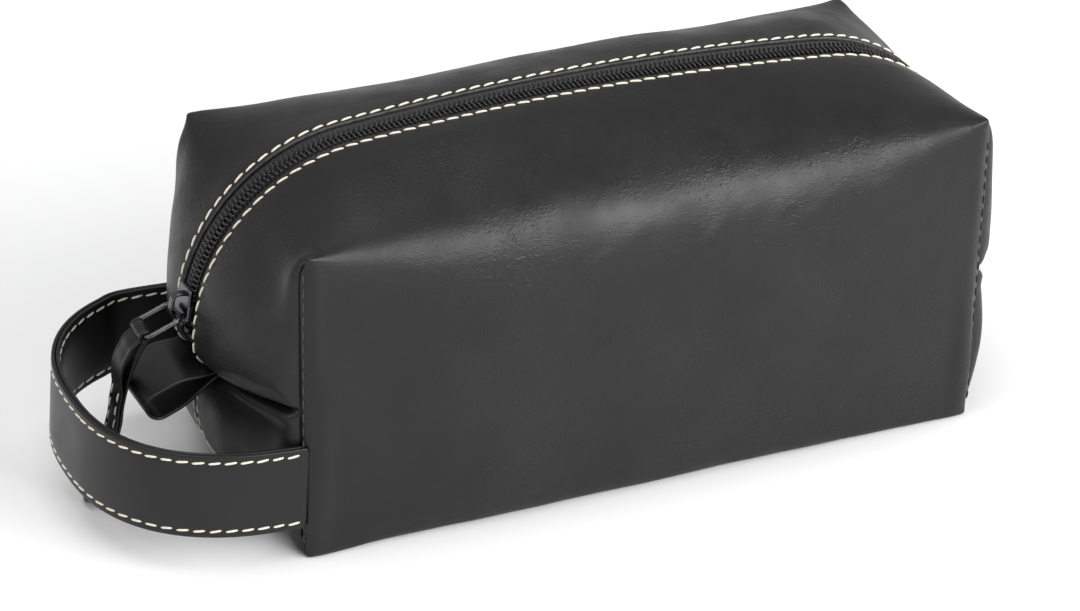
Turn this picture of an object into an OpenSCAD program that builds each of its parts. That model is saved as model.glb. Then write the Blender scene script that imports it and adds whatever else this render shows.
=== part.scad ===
// Leather shaving kit bag: a boxed pouch with a zip over its top, a loop handle and a finger tab at one end.
// Units are millimetres. +Z is up, the zip runs along X, and the origin is the middle of the base.

/* [Bag] */
// Length between the corner seams
bag_l = 254; // [244:1:264]
// Depth between the corner seams
bag_w = 111; // [104:1:118]
// Height of the four upper corner tips
bag_h = 114.5; // [110:0.5:118]
// Height of the zip line at mid-length
crown_h = 131; // [128:0.5:134]
// How far the front and back faces swell past the corner seams
face_bulge = 6; // [2:1:10]
// Thickness of the leather
leather_t = 1.5; // [1:0.1:1.8]
// Thickness of the lining cloth
lining_t = 0.4; // [0.3:0.1:0.5]

/* [Ends] */
// Distance from the middle of the bag to the outermost point of the zip line
zip_reach = 147.5; // [144:0.5:150]
// Radius of the zip line over each end
end_r = 64; // [60:1:68]
// Height of the centre of that curve
end_z = 63; // [60:1:66]
// Radius with which the zip line curls in under the end
curl_r = 9; // [8:1:11]
// Height of the end seam at its middle
seam_z = 52.5; // [52:0.5:54]
// Distance from the middle of the bag to the end seam at its middle
seam_x = 137; // [136:0.5:138]
// Height at which the end seam meets the corner seams
seam_corner_z = 57; // [54:1:60]
// Half length of the flat base along its middle
base_half = 122; // [116:1:124]

/* [Zip] */
// Width of the window between the two leather edges
window_w = 13; // [12.6:0.2:15]
// Width of the closed coil chain
chain_w = 7.8; // [7:0.2:8]
// Gap along the middle of the chain, in which the slider's post runs
chain_gap = 1.6; // [1.4:0.1:2]
// Height of the coils above the tape
coil_h = 2; // [1.6:0.1:2]
// Reach of each tape from the middle of the zip
tape_reach = 9.5; // [9:0.5:9.5]
// Length of the slider
slider_l = 13; // [11:0.5:15]
// Width of the slider
slider_w = 11.4; // [10.6:0.2:11.8]
// Angle of the closed slider from the top of its curve
slider_a = 80; // [76:1:82]

/* [Puller] */
// Diameter of the puller ring's wire
ring_d = 2; // [1.6:0.1:2]
// Width of the ring between the middles of its side bars
ring_w = 12; // [11.6:0.2:14]
// Length of the ring between the middles of its end bars
ring_l = 13; // [12:0.5:14]
// Angle of the ring below the horizontal
ring_a = 21; // [15:1:25]
// Length of the pull strap below the ring's outer bar
pull_l = 69.2; // [60:0.2:69.2]
// Width of the pull strap
pull_w = 9.4; // [8:0.2:9.4]
// Thickness of the folded pull strap
pull_t = 2.6; // [2:0.1:2.8]
// Angle by which the pull strap leans out from the vertical
pull_lean = 15.5; // [14:0.5:16]
// Angle by which the pull strap leans towards the back
pull_side = 5.5; // [0:0.5:6]

/* [Handle] */
// Width of the handle strap
handle_w = 31; // [26:1:32]
// Thickness of each of the handle's two layers
handle_ply = 1.5; // [1.2:0.1:1.8]
// Reach of the handle loop beyond its roots
handle_reach = 57.5; // [54:0.5:60]
// Half width of the handle loop
handle_half = 57; // [54:1:58]
// Distance from the middle of the bag to the handle's roots
handle_x = 131; // [131:0.5:133]
// Height of the middle of the strap at its front root
handle_z = 28; // [27:0.5:30]
// Rise of the strap from its front root to its back root
handle_rise = 6.5; // [3:0.5:7]

/* [End tab] */
// Width of the folded tab
tab_w = 28; // [22:1:28]
// Length of the tab from its root to its fold
tab_l = 27; // [24:0.5:27]
// Outer radius of the tab's fold
tab_fold_r = 4.8; // [4:0.1:4.8]
// Thickness of the tab's leather
tab_ply = 1.3; // [1:0.1:1.4]
// Angle of the tab below the horizontal
tab_a = 21; // [20:1:24]

/* [Stitching] */
// Distance from one stitch to the next
stitch_pitch = 5.2; // [4.5:0.1:6]
// Length of a stitch
stitch_l = 3.9; // [3:0.1:4.2]
// Thickness of the thread
thread_d = 0.8; // [0.5:0.1:0.9]

/* [Hidden] */

$fn = 48;
leather_black = [0.07, 0.07, 0.08];
lining_grey = [0.3, 0.3, 0.33];
tape_black = [0.12, 0.12, 0.13];
coil_black = [0.18, 0.18, 0.2];
gunmetal = [0.35, 0.36, 0.39];
cream = [0.86, 0.82, 0.74];
thread_black = [0.15, 0.15, 0.16];

half_l = bag_l / 2;
half_w = bag_w / 2;
end_x = zip_reach - end_r;
// The zip line over the top is one wide arc that meets each end arc smoothly.
crown_drop = crown_h - end_z;
top_r = (pow(end_x, 2) + pow(crown_drop, 2) - pow(end_r, 2)) / (2 * (crown_drop - end_r));
join_a = asin(end_x / (top_r - end_r));
curl_end_a = 165;
// Where the arcs meet the face's edge: the corner tip on the end arc, and shares of its length and height
corner_a = 45;
join_share = 0.72;
curl_share = 0.66;

// Heights from the zip line, outwards
leather_out = 0.7;
leather_in = leather_out - leather_t;
tape_t = 0.5;
layer_gap = 0.3;
tape_out = leather_in - layer_gap;
tape_in = tape_out - tape_t;
lining_out = tape_in - layer_gap;
lining_in = lining_out - lining_t;
coil_out = tape_out + coil_h;

// ---- paths -------------------------------------------------------------------------------------------

// A point of a circle, at angle a from its top towards -X
function on_arc(centre, r, a) = [centre.x - r * sin(a), centre.y + r * cos(a)];
function arc(centre, r, from, to, n) = [for (i = [1:n]) on_arc(centre, r, from + (to - from) * i / n)];
function line(from, to, n) = [for (i = [1:n]) from + (to - from) * i / n];
function bezier(a, b, c, d, n) = [for (i = [1:n]) let (t = i / n, u = 1 - t)
    u*u*u * a + 3 * u*u*t * b + 3 * u*t*t * c + t*t*t * d];
function mirrored(path) = [for (i = [len(path) - 1:-1:0]) [-path[i].x, path[i].y]];
function without_first(path) = [for (i = [1:len(path) - 1]) path[i]];
function without_ends(path) = [for (i = [1:len(path) - 2]) path[i]];
function unit(v) = v / norm(v);

// A path moved outwards by d; a loop runs anticlockwise seen from the front, so its outside is on its right
function normal_at(path, i, closed) = let (
        n = len(path),
        before = closed ? path[(i + n - 1) % n] : path[max(i - 1, 0)],
        after = closed ? path[(i + 1) % n] : path[min(i + 1, n - 1)],
        along = unit(after - before)
    ) [along.y, -along.x];
function shifted(path, d) = [for (i = [0:len(path) - 1]) path[i] + d * normal_at(path, i, false)];

// The left half of the bag's middle profile, from the top of the zip line down to the middle of the base
end_centre = [-end_x, end_z];
seam_point = [-seam_x, seam_z];
base_end = [-base_half, 0];
// How the end swells out below its seam, as the handles of one curve
seam_handle = seam_point + [-13, -6.5];
base_handle = base_end + [-25, 12];
top_n = 9;
end_n = 12;
curl_n = 4;
lower_n = 7;
base_n = 4;
zip_half = concat([[0, crown_h]],
    arc([0, crown_h - top_r], top_r, 0, join_a, top_n),
    arc(end_centre, end_r, join_a, 90, end_n),
    arc([-zip_reach + curl_r, end_z], curl_r, 90, curl_end_a, curl_n),
    [seam_point]);
lower_half = concat([seam_point],
    bezier(seam_point, seam_handle, base_handle, base_end, lower_n),
    line(base_end, [0, 0], base_n));
middle_half = concat(zip_half, lower_half);
middle_loop = concat(middle_half, without_ends(mirrored(middle_half)));

// The same stations on the edge of the front face, a rectangle between the four corner tips
corner_n = round(end_n * (corner_a - join_a) / (90 - join_a));
tip = [-half_l, bag_h];
join_on_edge = [-half_l * join_share, bag_h];
curl_on_edge = [-half_l, bag_h * curl_share];
seam_on_edge = [-half_l, seam_corner_z];
edge_half = concat([[0, bag_h]],
    line([0, bag_h], join_on_edge, top_n),
    line(join_on_edge, tip, corner_n),
    line(tip, curl_on_edge, end_n - corner_n),
    line(curl_on_edge, seam_on_edge + [0, 1], curl_n),
    [seam_on_edge], [seam_on_edge - [0, 1]],
    line(seam_on_edge - [0, 1], [-half_l, 0], lower_n),
    line([-half_l, 0], [0, 0], base_n));
edge_loop = concat(edge_half, without_ends(mirrored(edge_half)));

// ---- leather and lining shells -----------------------------------------------------------------------

stations = len(middle_loop);
zip_n = len(zip_half);
side_rows = 5;
face_scales = [0.86, 0.62, 0.34];
// The panels stop short of the zip's middle, and meet each other everywhere else
function open_half(i, value) = (i < zip_n || i > stations - zip_n) ? value : 0;
// An edge loop drawn in by d on all sides
function edge_in(p, d) = [p.x * (half_l - d) / half_l, d + p.y * (bag_h - 2 * d) / bag_h];

// One ring of the shell per row: first over the side of the bag, then over its face
function side_ring(loop, t, d, window) = [for (i = [0:stations - 1]) let (
        rim = open_half(i, window),
        p = loop[i] + (edge_in(edge_loop[i], d) - loop[i]) * t * t
    ) [p.x, -rim - (half_w - d - rim) * t, p.y]];
function face_ring(scale, d) = [for (i = [0:stations - 1]) let (p = edge_in(edge_loop[i], d))
    [p.x * scale, -(half_w - d) - face_bulge * (1 - scale * scale), bag_h / 2 + (p.y - bag_h / 2) * scale]];
// The zip line runs inside the leather, and the rest of the middle profile is the leather's outer surface
function shell_loop(d) = [for (i = [0:stations - 1])
    middle_loop[i] + (open_half(i, leather_out) - d) * normal_at(middle_loop, i, true)];
function shell_rings(d, window) = let (loop = shell_loop(d)) concat(
    [for (j = [0:side_rows]) side_ring(loop, j / side_rows, d, window)],
    [for (scale = face_scales) face_ring(scale, d)]);

// A half shell between two depths below the leather's outer surface
module half_shell(d_out, d_in, window) {
    outer = shell_rings(d_out, window);
    inner = shell_rings(d_in, window);
    rows = len(outer);
    function id(side, j, i) = (side * rows + j) * stations + i % stations;
    function triangles(a, b, c, d) = [[a, b, d], [b, c, d]];
    function band(side, j, i) = side == 0
        ? triangles(id(0, j, i), id(0, j, i + 1), id(0, j + 1, i + 1), id(0, j + 1, i))
        : triangles(id(1, j, i + 1), id(1, j, i), id(1, j + 1, i), id(1, j + 1, i + 1));
    sides = [for (side = [0, 1], j = [0:rows - 2], i = [0:stations - 1], face = band(side, j, i)) face];
    rim = [for (i = [0:stations - 1], face = [[id(0, 0, i), id(1, 0, i), id(0, 0, i + 1)],
        [id(0, 0, i + 1), id(1, 0, i), id(1, 0, i + 1)]]) face];
    hub = 2 * rows * stations;
    hubs = [for (rings = [outer, inner]) [0, rings[rows - 1][0].y, bag_h / 2]];
    caps = [for (i = [0:stations - 1], face = [[id(0, rows - 1, i), id(0, rows - 1, i + 1), hub],
        [id(1, rows - 1, i + 1), id(1, rows - 1, i), hub + 1]]) face];
    polyhedron(concat([for (ring = concat(outer, inner), p = ring) p], hubs), concat(sides, rim, caps));
}

lining_d_out = leather_out - lining_out;
lining_d_in = leather_out - lining_in;
module front_panel() { color(leather_black) half_shell(0, leather_t, window_w / 2); }
module back_panel() { mirror([0, 1, 0]) front_panel(); }
module front_lining() { color(lining_grey) half_shell(lining_d_out, lining_d_in, window_w / 2); }
module back_lining() { mirror([0, 1, 0]) front_lining(); }

// ---- zip ---------------------------------------------------------------------------------------------

// The whole zip line from the left end seam to the right one; its outside is on its left
function both_halves(half) = concat(
    [for (i = [len(half) - 1:-1:0]) half[i]],
    [for (i = [1:len(half) - 1]) [-half[i].x, half[i].y]]);
zip_line = both_halves(zip_half);
// The coils run from inside the closed slider to the bottom stop at the same height on the other end
left_skip = curl_n + 2;
right_skip = curl_n + 1;
coil_line = [for (i = [left_skip:len(zip_line) - 1 - right_skip]) zip_line[i]];

// Triangles round a four-cornered tube of n sections
function tube_walls(n) = [
    for (i = [0:n - 2], k = [0:3])
        let (a = 4 * i + k, b = 4 * i + (k + 1) % 4)
            for (face = [[a, b, b + 4], [a, b + 4, a + 4]]) face];

// A strip along a path, from y0 to y1 and from height h0 to h1 outside the path
module strip(path, y0, y1, h0, h1) {
    low = shifted(path, -h0);
    high = shifted(path, -h1);
    n = len(path);
    points = [for (i = [0:n - 1], p = [[low[i].x, y0, low[i].y], [low[i].x, y1, low[i].y],
        [high[i].x, y1, high[i].y], [high[i].x, y0, high[i].y]]) p];
    polyhedron(points, concat(tube_walls(n), [[3, 2, 1, 0], [for (k = [0:3]) 4 * (n - 1) + k]]));
}

tape_line = without_ends(zip_line);
module zip_tape_back() { color(tape_black) strip(tape_line, chain_gap / 2, tape_reach, tape_in, tape_out); }
module zip_tape_front() { mirror([0, 1, 0]) zip_tape_back(); }
module zip_coil_back() {
    color(coil_black) strip(coil_line, chain_gap / 2, chain_w / 2, tape_out, coil_out);
}
module zip_coil_front() { mirror([0, 1, 0]) zip_coil_back(); }

// A sector of a ring round the axis of the left end arc: side is the outline in [radius, y]
module end_sector(from_a, to_a) {
    translate([-end_x, 0, end_z]) rotate([90, 0, 0]) rotate([0, 0, 90 + from_a])
        rotate_extrude(angle = to_a - from_a) children();
}
// A place on the left end arc: +Z outwards, +X up along the zip
module on_end_arc(a, height) {
    r = end_r + height;
    translate([-end_x - r * sin(a), 0, end_z + r * cos(a)]) rotate([0, -a, 0]) children();
}

stop_l = 2.4;
stop_gap_a = 1.2;
slider_half_a = slider_l / 2 / end_r * 180 / PI;
stop_a = stop_l / end_r * 180 / PI;
stop_from = slider_a + slider_half_a + stop_gap_a;
stop_in = tape_in - 0.3;
stop_out = coil_out + 0.2;
stop_w = 2.4;
module zip_top_stops() {
    color(gunmetal) for (side = [-1, 1])
        end_sector(stop_from, stop_from + stop_a)
            translate([end_r + stop_in, (side - 0.5) * stop_w]) square([stop_out - stop_in, stop_w]);
}
module zip_bottom_stop() {
    color(gunmetal) mirror([1, 0, 0]) end_sector(90, 90 + stop_a)
        translate([end_r + stop_in, -chain_w / 2]) square([stop_out - stop_in, chain_w]);
}

// The slider: two plates that clasp the coils, joined by a post in the chain's gap, with a bridge on top
plate_gap = 0.5;
plate_t = 1.1;
flange_w = 1.1;
post_w = chain_gap - 0.6;
top_plate = coil_out + plate_gap;
top_face = top_plate + plate_t;
low_plate = tape_in - plate_gap;
bridge_w = 2.4;
bridge_bar_x = -3;
bridge_bar_z = 1.9;
bridge_top_z = 4.2;
bridge_t = 1.2;
bridge_leg_x = 3;
bridge_sink = 0.3;
ring_fit = 0.12;
module slider_outline() {
    translate([end_r + top_plate, -slider_w / 2]) square([plate_t, slider_w]);
    translate([end_r + low_plate - plate_t, -slider_w / 2]) square([plate_t, slider_w]);
    translate([end_r + low_plate - plate_t, -post_w / 2]) square([top_face - low_plate + plate_t, post_w]);
    for (side = [0, 1]) mirror([0, side]) translate([0, slider_w / 2 - flange_w]) {
        translate([end_r + tape_out + plate_gap, 0]) square([top_plate - tape_out, flange_w]);
        translate([end_r + low_plate - plate_t, 0]) square([plate_t + 0.1, flange_w]);
    }
}
module bridge() {
    bar_r = ring_d / 2 + ring_fit;
    rotate([90, 0, 0]) translate([0, 0, -bridge_w / 2]) linear_extrude(bridge_w) difference() {
        union() {
            translate([bridge_bar_x, bridge_bar_z]) circle(r = bridge_top_z - bridge_bar_z);
            translate([bridge_bar_x, bridge_top_z - bridge_t])
                square([bridge_leg_x + bridge_t - bridge_bar_x, bridge_t]);
            translate([bridge_bar_x - bridge_t, -bridge_sink]) square([2 * bridge_t, bridge_t]);
            translate([bridge_leg_x, -bridge_sink]) square([bridge_t, bridge_top_z + bridge_sink]);
        }
        translate([bridge_bar_x, bridge_bar_z]) circle(r = bar_r);
    }
}
module zip_slider() {
    color(gunmetal) {
        end_sector(slider_a - slider_half_a, slider_a + slider_half_a) slider_outline();
        on_end_arc(slider_a, top_face) bridge();
    }
}

// The puller ring turns on the bar inside the bridge; the strap turns on the ring's outer bar
module at_bridge_bar() {
    on_end_arc(slider_a, top_face) translate([bridge_bar_x, 0, bridge_bar_z])
        rotate([0, slider_a, 0]) children();
}
module puller_ring() {
    r = ring_d / 2;
    color(gunmetal) at_bridge_bar() rotate([0, -ring_a, 0]) {
        for (x = [-ring_l, 0]) translate([x, -ring_w / 2, 0]) rotate([-90, 0, 0])
            cylinder(r = r, h = ring_w);
        for (side = [-1, 1]) translate([-ring_l, side * ring_w / 2, 0]) rotate([0, 90, 0])
            cylinder(r = r, h = ring_l);
        for (x = [-ring_l, 0], side = [-1, 1]) translate([x, side * ring_w / 2, 0]) sphere(r = r);
    }
}
// The strap's own place: origin on the ring's outer bar, -Z down along the strap
module at_ring_bar() {
    at_bridge_bar() translate([-ring_l * cos(ring_a), 0, -ring_l * sin(ring_a)])
        rotate([0, pull_lean, 0]) rotate([pull_side, 0, 0]) children();
}
strap_bore_r = ring_d / 2 + ring_fit;
eye_r = strap_bore_r + pull_t / 2;
module pull_strap() {
    tip_r = pull_w / 2;
    color(leather_black) at_ring_bar() difference() {
        union() {
            translate([0, -pull_w / 2, 0]) rotate([-90, 0, 0]) cylinder(r = eye_r, h = pull_w);
            translate([-pull_t / 2, -pull_w / 2, -pull_l + tip_r]) cube([pull_t, pull_w, pull_l - tip_r]);
            translate([-pull_t / 2, 0, -pull_l + tip_r]) rotate([0, 90, 0]) cylinder(r = tip_r, h = pull_t);
        }
        rotate([pull_side > 0 ? -pull_side : 0, 0, 0]) translate([0, -pull_w, 0]) rotate([-90, 0, 0])
            cylinder(r = strap_bore_r, h = 2 * pull_w);
    }
}
pull_margin = 1.6;
module pull_stitching() {
    first = eye_r + stitch_pitch;
    last = pull_l - pull_w / 2;
    through = pull_t + thread_d;
    color(cream) at_ring_bar() for (side = [-1, 1], z = [first:stitch_pitch:last])
        translate([-through / 2, side * (pull_w / 2 - pull_margin) - thread_d / 2, -z - stitch_l / 2])
            cube([through, thread_d, stitch_l]);
}

// ---- rows of stitches --------------------------------------------------------------------------------

// The distance of each point along a path, and a table of distance against one coordinate
function step_to(path, i) = i < len(path) ? norm(path[i] - path[i - 1]) : 0;
function lengths(path) = [for (i = 0, c = 0; i < len(path); c = c + step_to(path, i + 1), i = i + 1) c];
function table(path, k) = let (c = lengths(path)) [for (i = [0:len(path) - 1]) [c[i], path[i][k]]];

// Stitches along a path in the XZ plane, at depth y, centred at a height outside the path
module stitch_row(path, y, height, thick, margin) {
    xs = table(path, 0);
    zs = table(path, 1);
    total = xs[len(xs) - 1][0];
    count = floor((total - 2 * margin) / stitch_pitch);
    for (i = [0:count - 1]) {
        s = margin + (i + 0.5) * (total - 2 * margin) / count;
        ahead = [lookup(s + 1, xs) - lookup(s - 1, xs), lookup(s + 1, zs) - lookup(s - 1, zs)];
        translate([lookup(s, xs), y, lookup(s, zs)]) rotate([0, -atan2(ahead.y, ahead.x), 0])
            translate([0, 0, height]) cube([stitch_l, thread_d, thick], center = true);
    }
}

seam_row_y = window_w / 2 + 2.1;
row_margin = 7;
zip_row_sink = 0.1;
module zip_stitching_back() {
    color(cream) stitch_row(zip_line, seam_row_y, leather_out + zip_row_sink, thread_d, row_margin);
}
module zip_stitching_front() { mirror([0, 1, 0]) zip_stitching_back(); }

// Two rows beside the seam that runs from end seam to end seam under the bag, sunk clear of the floor
bottom_row_y = 1.6;
bottom_margin = 7;
bottom_sink = 0.35;
lower_line = concat(lower_half, without_first(mirrored(lower_half)));
module bottom_seam_stitching() {
    color(thread_black) for (side = [-1, 1])
        stitch_row(lower_line, side * bottom_row_y, thread_d / 2 + bottom_sink, thread_d, bottom_margin);
}

// Black thread of a corner seam, on the end's side of the front left corner
corner_margin = 5;
thread_sink = 0.3;
corner_row_x = thread_sink - half_l - thread_d / 2;
corner_row_y = 1.2 - half_w;
module corner_thread() {
    count = floor((bag_h - 2 * corner_margin) / stitch_pitch);
    color(thread_black) for (i = [0:count - 1])
        translate([corner_row_x, corner_row_y, corner_margin + (i + 0.5) * stitch_pitch])
            cube([thread_d, thread_d, stitch_l], center = true);
}
module corner_thread_front_left() { corner_thread(); }
module corner_thread_back_left() { mirror([0, 1, 0]) corner_thread(); }
module corner_thread_front_right() { mirror([1, 0, 0]) corner_thread(); }
module corner_thread_back_right() { rotate([0, 0, 180]) corner_thread(); }

// Black thread in the fold of an end seam, from beside the tab out to the corner seams
module end_seam_thread() {
    first_y = tab_w / 2 + 3;
    count = floor((half_w - first_y - corner_margin) / stitch_pitch);
    color(thread_black) for (side = [-1, 1], i = [0:count - 1]) {
        y = first_y + (i + 0.5) * stitch_pitch;
        t = y / half_w;
        p = seam_point + (seam_on_edge - seam_point) * t * t;
        turn = atan2(2 * t * (seam_x - half_l), half_w);
        translate([p.x, side * y, p.y]) rotate([0, 0, -side * turn])
            cube([thread_d, stitch_l, thread_d], center = true);
    }
}
module end_seam_thread_left() { end_seam_thread(); }
module end_seam_thread_right() { mirror([1, 0, 0]) end_seam_thread(); }

// ---- handle ------------------------------------------------------------------------------------------

// Plan of the strap's middle, a rounded loop from the front root to the back one; its outside is on its left
handle_power = 2.4;
handle_y = 3.5;
handle_n = 44;
function loop_side(v) = sign(v) * pow(abs(v), 2 / handle_power);
function handle_at(a) = [
    -handle_x - handle_reach * loop_side(cos(a)),
    handle_y + handle_half * loop_side(sin(a))];
handle_plan = [for (i = [0:handle_n]) handle_at(-90 + 180 * i / handle_n)];
handle_s = lengths(handle_plan);
handle_len = handle_s[handle_n];
function handle_mid_z(s) = handle_z + handle_rise * s / handle_len;
// Half the strap's width at a distance from its front root; each root is rounded for the hinge's sake
root_r = handle_w / 2;
root_blunt = 0.2;
function handle_half_w(s) = let (near = min(s, handle_len - s))
    near < root_r ? sqrt(max(pow(root_r, 2) - pow(root_r - near, 2), pow(root_blunt, 2))) : root_r;

// A strap layer between two distances outside the strap's middle
module handle_layer(d0, d1) {
    low = shifted(handle_plan, -d0);
    high = shifted(handle_plan, -d1);
    points = [for (i = [0:handle_n]) let (h = handle_half_w(handle_s[i]), z = handle_mid_z(handle_s[i]))
        each [[low[i].x, low[i].y, z - h], [high[i].x, high[i].y, z - h],
            [high[i].x, high[i].y, z + h], [low[i].x, low[i].y, z + h]]];
    polyhedron(points, concat(tube_walls(handle_n + 1), [[3, 2, 1, 0], [for (k = [0:3]) 4 * handle_n + k]]));
}
module handle_strap() { color(leather_black) handle_layer(0.02, handle_ply); }
module handle_backing() { color(leather_black) handle_layer(-handle_ply, -0.02); }

// One row of stitches right through both layers
handle_margin = 2.6;
module handle_row(side) {
    xs = table(handle_plan, 0);
    ys = table(handle_plan, 1);
    from = root_r + stitch_l;
    count = floor((handle_len - 2 * from) / stitch_pitch);
    through = 2 * handle_ply + thread_d;
    color(cream) for (i = [0:count - 1]) {
        s = from + (i + 0.5) * (handle_len - 2 * from) / count;
        ahead = [lookup(s + 1, xs) - lookup(s - 1, xs), lookup(s + 1, ys) - lookup(s - 1, ys)];
        translate([lookup(s, xs), lookup(s, ys), handle_mid_z(s) + side * (handle_w / 2 - handle_margin)])
            rotate([0, 0, atan2(ahead.y, ahead.x)]) cube([stitch_l, through, thread_d], center = true);
    }
}
module handle_stitching_upper() { handle_row(1); }
module handle_stitching_lower() { handle_row(-1); }

// ---- end tab -----------------------------------------------------------------------------------------

// A strip folded into a drop-shaped loop, its two ends together in the end seam
tab_root = [-seam_x - 4.9, seam_z + 0.3];
module drop(r, root_half) {
    far = tab_l - tab_fold_r;
    turn = asin((r - root_half) / far);
    polygon(concat([[0, -root_half], [0, root_half]],
        [for (i = [0:16]) let (a = 90 - turn - (180 - 2 * turn) * i / 16) [far + r * cos(a), r * sin(a)]]));
}
module end_tab() {
    color(leather_black) translate([tab_root.x, tab_w / 2, tab_root.y])
        rotate([0, -tab_a, 0]) rotate([90, 0, 0])
            linear_extrude(tab_w) mirror([1, 0]) difference() {
                drop(tab_fold_r, tab_ply);
                translate([2 * tab_ply, 0]) drop_inside();
            }
}
module drop_inside() {
    far = tab_l - tab_fold_r - 2 * tab_ply;
    r = tab_fold_r - tab_ply;
    polygon(concat([[0, 0]], [for (i = [0:16]) let (a = 80 - 160 * i / 16) [far + r * cos(a), r * sin(a)]]));
}

front_panel();
back_panel();
front_lining();
back_lining();
zip_tape_front();
zip_tape_back();
zip_coil_front();
zip_coil_back();
zip_top_stops();
zip_bottom_stop();
zip_slider();
puller_ring();
pull_strap();
pull_stitching();
handle_strap();
handle_backing();
handle_stitching_upper();
handle_stitching_lower();
end_tab();
zip_stitching_front();
zip_stitching_back();
corner_thread_front_left();
corner_thread_back_left();
corner_thread_front_right();
corner_thread_back_right();
end_seam_thread_left();
end_seam_thread_right();
bottom_seam_stitching();
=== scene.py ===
"""Looks of a leather shaving kit bag: soft shells, zip, slider, pull strap, handle, finger tab, stitching.

Shapes are worked out in millimetres and become metres when a mesh is made.
X runs along the zip, the front faces -Y.
"""

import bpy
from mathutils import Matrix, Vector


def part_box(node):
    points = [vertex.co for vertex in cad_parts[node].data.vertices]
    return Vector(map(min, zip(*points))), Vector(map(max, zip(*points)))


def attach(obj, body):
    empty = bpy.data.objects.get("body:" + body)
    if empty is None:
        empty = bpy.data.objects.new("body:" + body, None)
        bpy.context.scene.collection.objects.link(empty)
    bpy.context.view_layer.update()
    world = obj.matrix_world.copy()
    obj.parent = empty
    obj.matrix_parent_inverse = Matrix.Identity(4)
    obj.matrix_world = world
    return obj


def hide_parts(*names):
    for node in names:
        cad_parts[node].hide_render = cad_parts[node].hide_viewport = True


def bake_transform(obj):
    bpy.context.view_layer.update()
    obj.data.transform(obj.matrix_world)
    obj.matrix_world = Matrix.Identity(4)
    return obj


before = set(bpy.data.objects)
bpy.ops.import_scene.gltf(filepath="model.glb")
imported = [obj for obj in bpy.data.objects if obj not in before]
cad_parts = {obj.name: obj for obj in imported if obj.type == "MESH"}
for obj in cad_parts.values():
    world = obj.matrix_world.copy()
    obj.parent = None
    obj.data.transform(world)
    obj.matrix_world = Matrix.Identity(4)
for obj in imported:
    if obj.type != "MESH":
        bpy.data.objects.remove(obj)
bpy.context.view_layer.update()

import math

import bmesh
import bpy
import numpy as np
from mathutils import Matrix, Vector
from mathutils.bvhtree import BVHTree

MM = 0.001
rng = np.random.default_rng(7)


def box_mm(node):
    """Lowest and highest corner of a CAD node, in millimetres."""
    return [np.array(corner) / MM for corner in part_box(node)]


# ---- dimensions of the bag, from the frame ----
LEATHER_OUT = 0.7
LEATHER_T = 1.5
panel_high = box_mm("front_panel")[1]
thread_low = box_mm("corner_thread_front_left")[0]
ZIP_REACH = panel_high[0] - LEATHER_OUT
CROWN_H = panel_high[2] - LEATHER_OUT
THREAD_SINK, THREAD_D = 0.3, 0.8
HALF_L = -thread_low[0] + THREAD_SINK - THREAD_D
HALF_W = 55.5
BAG_H = 114.5
FACE_BULGE = 6.0
WINDOW_HALF = 6.5
END_R = 64.0
END_Z = 63.0
END_X = ZIP_REACH - END_R
CURL_R = 9.0
CURL_END = 165.0
SEAM = np.array([-137.0, 52.5])
SEAM_CORNER_Z = 57.0
SEAM_HANDLE = SEAM + (-13, -6.5)
BASE_HANDLE = np.array([-147.0, 12.0])
BASE_HALF = 122.0
CROWN_DROP = CROWN_H - END_Z
TOP_R = (END_X**2 + CROWN_DROP**2 - END_R**2) / (2 * (CROWN_DROP - END_R))
JOIN_A = math.degrees(math.asin(END_X / (TOP_R - END_R)))
LAYER_GAP = 0.3
TAPE_OUT = LEATHER_OUT - LEATHER_T - LAYER_GAP
TAPE_T = 0.5
STITCH_PITCH = 5.2
BASE_ROW_Y = 1.7
SEAM_ROW_IN = 2.1
SEAM_ROW_Y = WINDOW_HALF + SEAM_ROW_IN


# ---- small tools ----
def arc(centre, r, start, stop, n):
    a = np.radians(np.linspace(start, stop, n + 1)[1:])
    return np.stack([centre[0] - r * np.sin(a), centre[1] + r * np.cos(a)], 1)


def line(p, q, n):
    return np.array(p) + (np.array(q) - np.array(p)) * np.linspace(0, 1, n + 1)[1:, None]


def bezier(a, b, c, d, n, crowd=1.0):
    t = np.linspace(0, 1, n + 1)[1:, None] ** crowd
    u = 1 - t
    return u**3 * np.array(a) + 3 * u * u * t * np.array(b) + 3 * u * t * t * np.array(c) + t**3 * np.array(d)


def smooth_path(points, n):
    """A smooth curve through given points, with n even steps."""
    p = np.array(points, float)
    ends = np.vstack([2 * p[0] - p[1], p, 2 * p[-1] - p[-2]])
    fine = []
    for i in range(len(p) - 1):
        a, b, c, d = ends[i:i + 4]
        t = np.linspace(0, 1, 25)[:-1, None]
        fine.append(0.5 * (2 * b + (c - a) * t + (2 * a - 5 * b + 4 * c - d) * t**2
                           + (3 * b - a - 3 * c + d) * t**3))
    fine = np.vstack(fine + [p[-1:]])
    return resample(fine, n)


def lengths(path):
    return np.concatenate([[0], np.cumsum(np.linalg.norm(np.diff(path, axis=0), axis=1))])


def resample(path, n):
    s = lengths(path)
    at = np.linspace(0, s[-1], n + 1)
    return np.stack([np.interp(at, s, path[:, k]) for k in range(path.shape[1])], 1)


def unit(v):
    return v / np.maximum(np.linalg.norm(v, axis=-1, keepdims=True), 1e-12)


def tangents(path):
    return unit(np.gradient(path, axis=0))


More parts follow.
